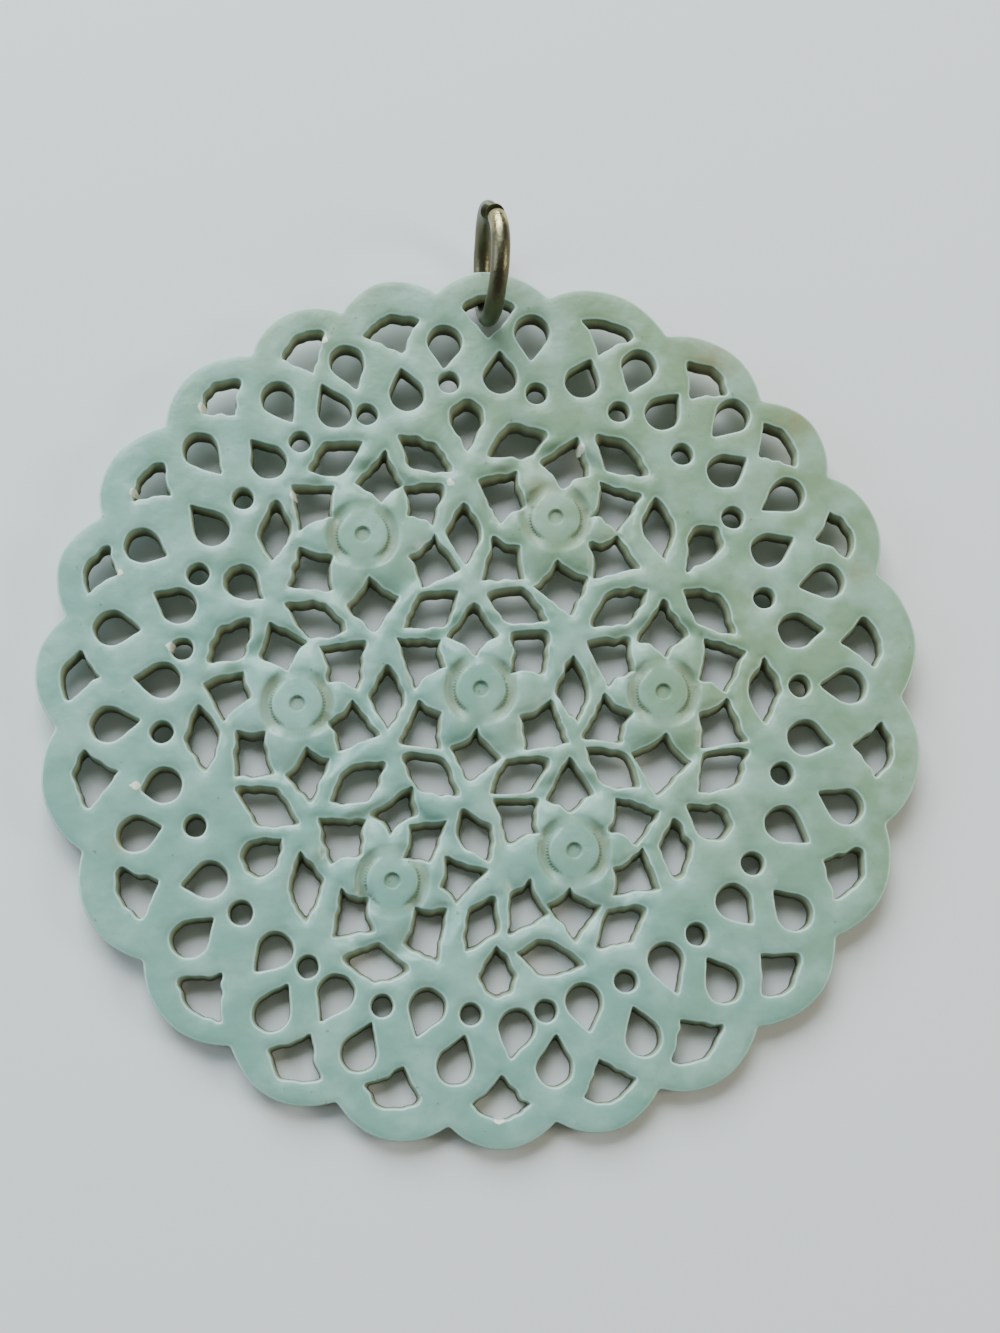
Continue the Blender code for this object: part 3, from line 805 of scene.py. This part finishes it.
def place_on_piece(tree, stretch=(1, 1, 1), turn=0.0):
    """Where a point lies on the object in metres, with the axes stretched and turned for long marks."""
    place = fed(tree, "TexCoord", "Object", {})
    if stretch == (1, 1, 1):
        return place
    rotation = (0, 0, math.radians(turn))
    return fed(tree, "Mapping", "Vector", {"Vector": place, "Scale": stretch, "Rotation": rotation})


def clouds(tree, size, detail=3, stretch=(1, 1, 1), turn=0.0):
    """Soft spots of about a size in metres, from 0 to 1."""
    place = place_on_piece(tree, stretch, turn)
    return fed(tree, "TexNoise", "Fac", {"Vector": place, "Scale": 1 / size, "Detail": detail})


def carried(tree, name):
    """A number that the mesh carries at each of its points."""
    return fed(tree, "Attribute", "Fac", {}, attribute_name=name)


def ramp(tree, value, low, high, bottom=0, top=1):
    """Bottom where the value is below low, top above high, and a smooth rise between."""
    limits = {"From Min": low, "From Max": high, "To Min": bottom, "To Max": top}
    return fed(tree, "MapRange", "Result", {"Value": value, **limits}, interpolation_type="SMOOTHSTEP")


def plus(tree, first, second):
    return fed(tree, "Math", "Value", {0: first, 1: second}, operation="ADD")


def times(tree, first, second):
    return fed(tree, "Math", "Value", {0: first, 1: second}, operation="MULTIPLY")


def layered(tree, ground, layers):
    """A colour with others laid over it in turn, each as strongly as its share says."""
    colour = (*ground, 1)
    for share, tone in layers:
        inputs = {"Factor": share, "A": colour, "B": (*tone, 1)}
        colour = fed(tree, "Mix", "Result", inputs, data_type="RGBA")
    return colour


def relief(tree, height, depth):
    return fed(tree, "Bump", "Normal", {"Height": height, "Distance": depth})


def celluloid(finish):
    """Aged translucent celluloid: cloudy pale green with specks of dirt, yellowed and darkened as painted
    shade to the upper right, painted shade in its carving and down its walls, and a painted highlight along
    its edges.
    """
    stuff, tree, shader = new_material("celluloid")
    across, along = (fed(tree, "SeparateXYZ", axis, {"Vector": place_on_piece(tree)}) for axis in "XY")
    # Real yellowing together with painted shade: darker and yellower towards the upper right
    slope = plus(tree, times(tree, across, YELLOWING_AND_SHADE_RIGHTWARDS), times(tree, along, YELLOWING_AND_SHADE_UPWARDS))
    yellowing_and_shade = plus(tree, slope, clouds(tree, 9 * MM))
    milk = clouds(tree, 2.6 * MM, detail=5)
    cut = carried(tree, "cut")
    # A painted highlight along the edges: the cut share rises on the edge's round and fades onto the face
    edge = times(tree, ramp(tree, cut, 0.15, 0.6), ramp(tree, cut, 0.7, 0.95, 1, 0))
    # Random mottling, laid over the painted shade in the carving and over the stains
    mottling = ramp(tree, clouds(tree, 0.7 * MM, detail=4), 0.3, 0.7, 0.45, 1)
    shelter = carried(tree, "shelter")
    shaded_carving = times(tree, shelter, mottling)
    stained = times(tree, carried(tree, "stained"), mottling)
    depth = carried(tree, "depth")
    chipped = plus(tree, carried(tree, "broken"), times(tree, clouds(tree, 0.3 * MM, detail=2), 0.5))
    specks = clouds(tree, 0.45 * MM, detail=2)
    layers = (
        # Yellowing and painted shade towards the upper right
        (ramp(tree, yellowing_and_shade, 0.2, 1.1), finish.aged_and_shaded_colour),
        (ramp(tree, milk, 0.4, 0.7, 0, 0.42), finish.milk_and_edge_highlight_colour),
        # Painted highlight along the edges, in the pale colour
        (times(tree, edge, 0.85), finish.milk_and_edge_highlight_colour),
        # Painted shade in the flowers' grooves and dimples, mottled
        (times(tree, shaded_carving, 0.75), finish.carving_shade_colour),
        (ramp(tree, depth, 0, 0.3), finish.wall_colour),
        # Painted shade down the walls towards the back
        (ramp(tree, depth, 0.1, 0.95), finish.wall_shade_colour),
        (times(tree, stained, 0.65), finish.stain_colour),
        (ramp(tree, chipped, 0.72, 0.84), finish.break_colour),
        (ramp(tree, specks, 0.71, 0.78, 0, 0.5), finish.dirt_colour),
    )
    gloss = ramp(tree, clouds(tree, 1.4 * MM, detail=4), 0.3, 0.7, 0.3, 0.46)
    rough = plus(tree, gloss, ramp(tree, cut, 0.6, 1, 0, 0.2))
    waves = clouds(tree, 0.9 * MM, detail=2)
    filed = clouds(tree, 0.22 * MM, stretch=(0.25, 1, 1), turn=24.0)
    feed(tree, shader, {
        "Base Color": layered(tree, finish.face_colour, layers),
        "Roughness": plus(tree, rough, times(tree, shelter, 0.15)),
        "Subsurface Weight": 0.3,
        "Subsurface Radius": (0.9, 1.0, 0.7),
        "Subsurface Scale": 0.7 * MM,
        "Normal": relief(tree, plus(tree, waves, times(tree, filed, 0.1)), 0.05 * MM),
    })
    return stuff


def antique_brass(finish):
    """Old brass wire: dark brown with grey-green patina, rubbed golden where it is handled."""
    stuff, tree, shader = new_material("antique_brass")
    rubbed = plus(tree, carried(tree, "rubbed"), times(tree, clouds(tree, 1.1 * MM, detail=5), 0.9))
    shine = ramp(tree, rubbed, 0.55, 1.1)
    aged = plus(tree, carried(tree, "aged"), clouds(tree, 0.8 * MM, detail=4))
    green = ramp(tree, aged, 0.75, 1.15, 0, 0.85)
    layers = ((shine, finish.brass_colour), (green, finish.patina_colour))
    polished = plus(tree, 0.38, times(tree, shine, -0.2))
    pits = clouds(tree, 0.25 * MM, detail=4)
    drawn = clouds(tree, 0.1 * MM, detail=1)
    feed(tree, shader, {
        "Base Color": layered(tree, finish.tarnish_colour, layers),
        "Metallic": plus(tree, 1, times(tree, green, -0.75)),
        "Roughness": plus(tree, polished, times(tree, green, 0.2)),
        "Normal": relief(tree, plus(tree, pits, times(tree, drawn, 0.3)), 0.03 * MM),
    })
    return stuff


def length(name, description, millimetres):
    return FloatProperty(
        name=name, description=description, default=millimetres * MM, min=0, unit="LENGTH",
        subtype="DISTANCE", precision=5,
    )


def strength(name, description, default):
    return FloatProperty(name=name, description=description, default=default, min=0)


def count(name, description, default, least):
    return IntProperty(name=name, description=description, default=default, min=least)


def tint(name, coloured, colour):
    return FloatVectorProperty(
        name=name, description="Colour of " + coloured, default=colour, min=0, max=1, size=3,
        subtype="COLOR",
    )


class PendantCarving(bpy.types.PropertyGroup):
    """Sizes of the carving."""

    edge_radius: length("Worn edge", "Radius of the worn edge round the carved face", 0.12)
    lattice_taper: length("Lattice taper", "How much each side of a lattice hole closes in at the back", 0.2)
    border_taper: length("Border taper", "How much each side of a border hole closes in at the back", 0.1)
    saw_lean: length("Saw lean", "How far the saw leaned away from the hanging hole at the back", 0.12)
    sway: length("Saw sway", "How far an outline wanders off its line", 0.07)
    chatter: length("Saw chatter", "Small unevenness that the saw left in every sawn hole", 0.21)
    lattice_fall: length("Lattice fall", "How deep the face falls towards the edges of the lattice", 0.13)
    border_fall: length("Border fall", "How deep the face falls towards the edges of the border", 0.05)
    face_wander: length("Face unevenness", "How far the hand-finished face wanders off flat", 0.05)
    groove_depth: length("Groove depth", "Depth of the groove round a flower's hub, at its deepest", 0.32)
    dimple_depth: length("Dimple depth", "Depth of the dimple drilled into a hub", 0.2)
    petal_fall: length("Petal fall", "How deep a petal falls from its crest to its tip", 0.34)


class PendantRing(bpy.types.PropertyGroup):
    """Sizes of the jump ring."""

    wire_wander: length("Wire unevenness", "How far the old wire's surface is worn and dented", 0.03)
    end_chamfer: length("End chamfer", "How far the edge of each cut wire end is worn back", 0.1)
    wire_sides: count("Wire sides", "Number of faces round the wire", 24, 8)
    wire_steps: count("Wire steps", "Number of steps along the wire", 140, 24)


class PendantFinish(bpy.types.PropertyGroup):
    """Colours of the finish."""

    face_colour: tint("Celluloid", "the celluloid's face", (0.19, 0.365, 0.30))
    # Yellowed celluloid, also laid on as painted shade towards the upper right
    aged_and_shaded_colour: tint("Aged celluloid", "the celluloid where it has yellowed", (0.195, 0.295, 0.165))
    # Pale colour of the milky clouds, also laid along the edges as a painted highlight
    milk_and_edge_highlight_colour: tint("Pale celluloid", "milky clouds and polished edges", (0.40, 0.57, 0.50))
    wall_colour: tint("Sawn walls", "the celluloid where it was sawn through", (0.34, 0.37, 0.23))
    # Painted shade on the sawn walls towards the back
    wall_shade_colour: tint("Deep walls", "the sawn walls towards the back", (0.045, 0.05, 0.03))
    dirt_colour: tint("Dirt", "old dirt in the carving", (0.10, 0.11, 0.06))
    # Painted shade in the flowers' grooves and dimples
    carving_shade_colour: tint("Grooves", "the thin old dirt in the grooves", (0.24, 0.27, 0.16))
    stain_colour: tint("Stains", "the brown stains", (0.25, 0.20, 0.09))
    break_colour: tint("Fresh breaks", "the celluloid where it has chipped", (0.74, 0.76, 0.62))
    brass_colour: tint("Rubbed brass", "the jump ring where it is rubbed bright", (0.56, 0.46, 0.22))
    tarnish_colour: tint("Tarnished brass", "the jump ring's dark tarnish", (0.125, 0.115, 0.07))
    patina_colour: tint("Patina", "the jump ring's grey-green patina", (0.12, 0.14, 0.10))


class PendantStage(bpy.types.PropertyGroup):
    """Floor and light."""

    floor_colour: tint("Floor", "the pale floor", (0.74, 0.74, 0.73))
    window_power: strength("Window light", "Power of the broad light beyond the top in watts", 6.3)
    fill_power: strength("Fill light", "Power of the warm light on the right in watts", 0.9)
    side_power: strength("Side light", "Power of the cool light on the left in watts", 1.1)
    room_light: strength("Room light", "Strength of the even light from all round", 0.15)


class PENDANT_OT_disc(bpy.types.Operator):
    """Carve the openwork disc"""

    bl_idname = "pendant.disc"
    bl_label = "Carved disc"
    bl_options = {"REGISTER", "UNDO"}

    def execute(self, context):
        shape = carved_plate(context.scene.pendant_carving)
        open_edges = sum(1 for edge in shape.edges if len(edge.link_faces) != 2)
        if open_edges:
            raise RuntimeError(f"the carved disc has {open_edges} open edges")
        bmesh.ops.scale(shape, verts=shape.verts, vec=(MM, MM, MM))
        bmesh.ops.transform(shape, verts=shape.verts, matrix=plate_place())
        bmesh.ops.recalc_face_normals(shape, faces=shape.faces)
        mesh = bpy.data.meshes.new("carved_disc")
        shape.to_mesh(mesh)
        shape.free()
        mesh.materials.append(celluloid(context.scene.pendant_finish))
        disc = bpy.data.objects.new("carved_disc", mesh)
        context.scene.collection.objects.link(disc)
        only(disc)
        bpy.ops.object.shade_smooth_by_angle(angle=math.radians(CARVED_CREASE))
        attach(disc, "root")
        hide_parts("openwork_disc")
        return {"FINISHED"}


def wire_share(point):
    """How far along the wire a point of the unopened ring lies, from 0 to 1."""
    gap = math.degrees(RING_GAP / RING_BEND)
    turn = (math.degrees(math.atan2(point.y, point.x)) - RING_GAP_TURN) % 360
    return (turn - gap / 2) / (360 - gap)


def ring_place():
    """Stands the ring up over the edge where its solid is, with its open side stepped sideways."""
    low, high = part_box("jump_ring")
    hang = math.radians(scallop_angle(hanging_scallop()) - 90)
    middle = (low + high) / 2
    reach = (RING_BEND + RING_WIRE / 2) * MM
    stand = Matrix(((0, 0, 1, 0), (1, 0, 0, 0), (0, 1, 0, 0), (0, 0, 0, 1)))
    turn = Matrix.Rotation(hang, 4, "Z") @ Matrix.Rotation(math.radians(RING_LEAN), 4, "Y")
    return Matrix.Translation((middle.x, high.y - reach, high.z - reach)) @ turn @ stand


class PENDANT_OT_ring(bpy.types.Operator):
    """Bend the open jump ring from its wire"""

    bl_idname = "pendant.ring"
    bl_label = "Jump ring"
    bl_options = {"REGISTER", "UNDO"}

    def execute(self, context):
        sizes = context.scene.pendant_ring
        gap = RING_GAP / RING_BEND
        start = math.radians(RING_GAP_TURN) + gap / 2
        bpy.ops.object.select_all(action="DESELECT")
        bpy.ops.mesh.primitive_circle_add(
            vertices=sizes.wire_sides, radius=RING_WIRE / 2 * MM,
            location=(RING_BEND * MM, 0, 0), rotation=(math.pi / 2, 0, 0),
        )
        ring = context.object
        ring.name = "jump_ring_wire"
        bpy.ops.object.transform_apply(location=True, rotation=True, scale=True)
        ring.data.transform(Matrix.Rotation(start, 4, "Z"))
        bpy.ops.object.mode_set(mode="EDIT")
        bpy.ops.mesh.select_all(action="SELECT")
        bpy.ops.mesh.spin(steps=sizes.wire_steps, angle=2 * math.pi - gap, center=(0, 0, 0), axis=(0, 0, 1))
        bpy.ops.mesh.select_all(action="SELECT")
        bpy.ops.mesh.fill_holes(sides=0)
        bpy.ops.mesh.select_all(action="DESELECT")
        bpy.ops.mesh.select_face_by_sides(number=4, type="GREATER")
        bpy.ops.mesh.inset(thickness=sizes.end_chamfer, depth=sizes.end_chamfer * CHAMFER_SLOPE)
        bpy.ops.mesh.select_all(action="SELECT")
        bpy.ops.mesh.normals_make_consistent(inside=False)
        bpy.ops.object.mode_set(mode="OBJECT")
        rubbed = ring.data.attributes.new("rubbed", "FLOAT", "POINT")
        aged = ring.data.attributes.new("aged", "FLOAT", "POINT")
        for index, vertex in enumerate(ring.data.vertices):
            share = wire_share(vertex.co)
            bend = Vector((vertex.co.x, vertex.co.y, 0)).normalized() * RING_BEND * MM
            outwards = (vertex.co - bend).normalized()
            lump = noise.noise(vertex.co / MM * DENTS)
            vertex.co += outwards * lump * sizes.wire_wander
            hook = RING_END_HOOK * max(0.0, 1 - share / RING_HOOK_SHARE) ** 2
            vertex.co.z += (RING_SIDE_STEP * (0.5 - share) - hook) * MM
            rubbed.data[index].value = wear_of_wire(share, outwards)
            aged.data[index].value = patina_of_wire(share)
        ring.data.transform(ring_place())
        only(ring)
        bpy.ops.object.shade_smooth_by_angle(angle=math.radians(WIRE_CREASE))
        ring.data.materials.append(antique_brass(context.scene.pendant_finish))
        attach(ring, "root")
        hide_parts("jump_ring")
        return {"FINISHED"}


def wear_of_wire(share, outwards):
    """How much of its tarnish a place on the wire has lost: most near the front end, at the ring's top."""
    top = math.exp(-((share - RUBBED_PLACE) / RUBBED_LENGTH) ** 2)
    return 0.55 * top + 0.25 * max(0.0, outwards.x) - 0.25


def patina_of_wire(share):
    """How much patina a place along the wire has: most near the hidden end, least near the front end."""
    return 0.5 * eased((share - 0.8) / 0.12) - 0.3 * eased((0.3 - share) / 0.1)


class PENDANT_OT_stage(bpy.types.Operator):
    """Lay the floor, hang the lights and set the camera"""

    bl_idname = "pendant.stage"
    bl_label = "Floor, lights and camera"
    bl_options = {"REGISTER", "UNDO"}

    def execute(self, context):
        settings = context.scene.pendant_stage
        bpy.ops.object.select_all(action="DESELECT")
        bpy.ops.mesh.primitive_plane_add(size=FLOOR_SIZE, location=(0, 0, 0))
        floor = context.object
        floor.name = "floor"
        paint, tree, shader = new_material("pale_floor")
        feed(tree, shader, {"Base Color": (*settings.floor_colour, 1), "Roughness": 0.7})
        floor.data.materials.append(paint)
        world = bpy.data.worlds.new("studio")
        world.use_nodes = True
        glow = {"Color": (1.0, 0.97, 0.86, 1), "Strength": settings.room_light}
        feed(world.node_tree, world.node_tree.nodes["Background"], glow)
        context.scene.world = world
        for name, place, size, power, colour in (
            ("window", (-0.12, 0.40, 0.33), 0.42, settings.window_power, (0.84, 0.95, 1.0)),
            ("fill", (0.40, -0.02, 0.22), 0.14, settings.fill_power, (1.0, 0.96, 0.80)),
            ("side", (-0.42, 0.06, 0.20), 0.25, settings.side_power, (0.72, 0.88, 1.0)),
        ):
            bpy.ops.object.light_add(type="AREA", location=place)
            light = context.object
            light.name = name
            light.data.size = size
            light.data.energy = power
            light.data.color = colour
            light.rotation_euler = (-Vector(place)).to_track_quat("-Z", "Y").to_euler()
        swing = Matrix.Rotation(math.radians(CAMERA_SWING), 4, "Y")
        turn = swing @ Matrix.Rotation(math.radians(CAMERA_NOD), 4, "X")
        back = -(turn @ Vector(DISC_BEFORE_CAMERA)) * MM
        camera = bpy.data.objects.new("camera", bpy.data.cameras.new("camera"))
        camera.data.lens = FOCAL_LENGTH
        camera.data.clip_start = NEAREST_SEEN
        camera.matrix_world = plate_place() @ Matrix.Translation(back) @ turn
        context.scene.collection.objects.link(camera)
        context.scene.camera = camera
        return {"FINISHED"}


class PENDANT_PT_panel(bpy.types.Panel):
    """Sizes, colours and steps of the pendant"""

    bl_label = "Carved pendant"
    bl_idname = "PENDANT_PT_panel"
    bl_space_type = "VIEW_3D"
    bl_region_type = "UI"
    bl_category = "Pendant"

    def draw(self, context):
        scene = context.scene
        for settings, step in (
            (scene.pendant_carving, PENDANT_OT_disc),
            (scene.pendant_ring, PENDANT_OT_ring),
            (scene.pendant_stage, PENDANT_OT_stage),
            (scene.pendant_finish, None),
        ):
            box = self.layout.box()
            if step:
                box.operator(step.bl_idname)
            for name in settings.bl_rna.properties.keys():
                if name not in ("rna_type", "name"):
                    box.prop(settings, name)


SETTINGS = {
    "pendant_carving": PendantCarving,
    "pendant_ring": PendantRing,
    "pendant_finish": PendantFinish,
    "pendant_stage": PendantStage,
}
STEPS = (PENDANT_OT_disc, PENDANT_OT_ring, PENDANT_OT_stage, PENDANT_PT_panel)


def register():
    for part in (*SETTINGS.values(), *STEPS):
        bpy.utils.register_class(part)
    for name, group in SETTINGS.items():
        setattr(bpy.types.Scene, name, PointerProperty(type=group))


def unregister():
    for name in SETTINGS:
        delattr(bpy.types.Scene, name)
    for part in reversed((*SETTINGS.values(), *STEPS)):
        bpy.utils.unregister_class(part)


def main():
    register()
    bpy.ops.pendant.disc()
    bpy.ops.pendant.ring()
    bpy.ops.pendant.stage()


if __name__ == "__main__":
    main()
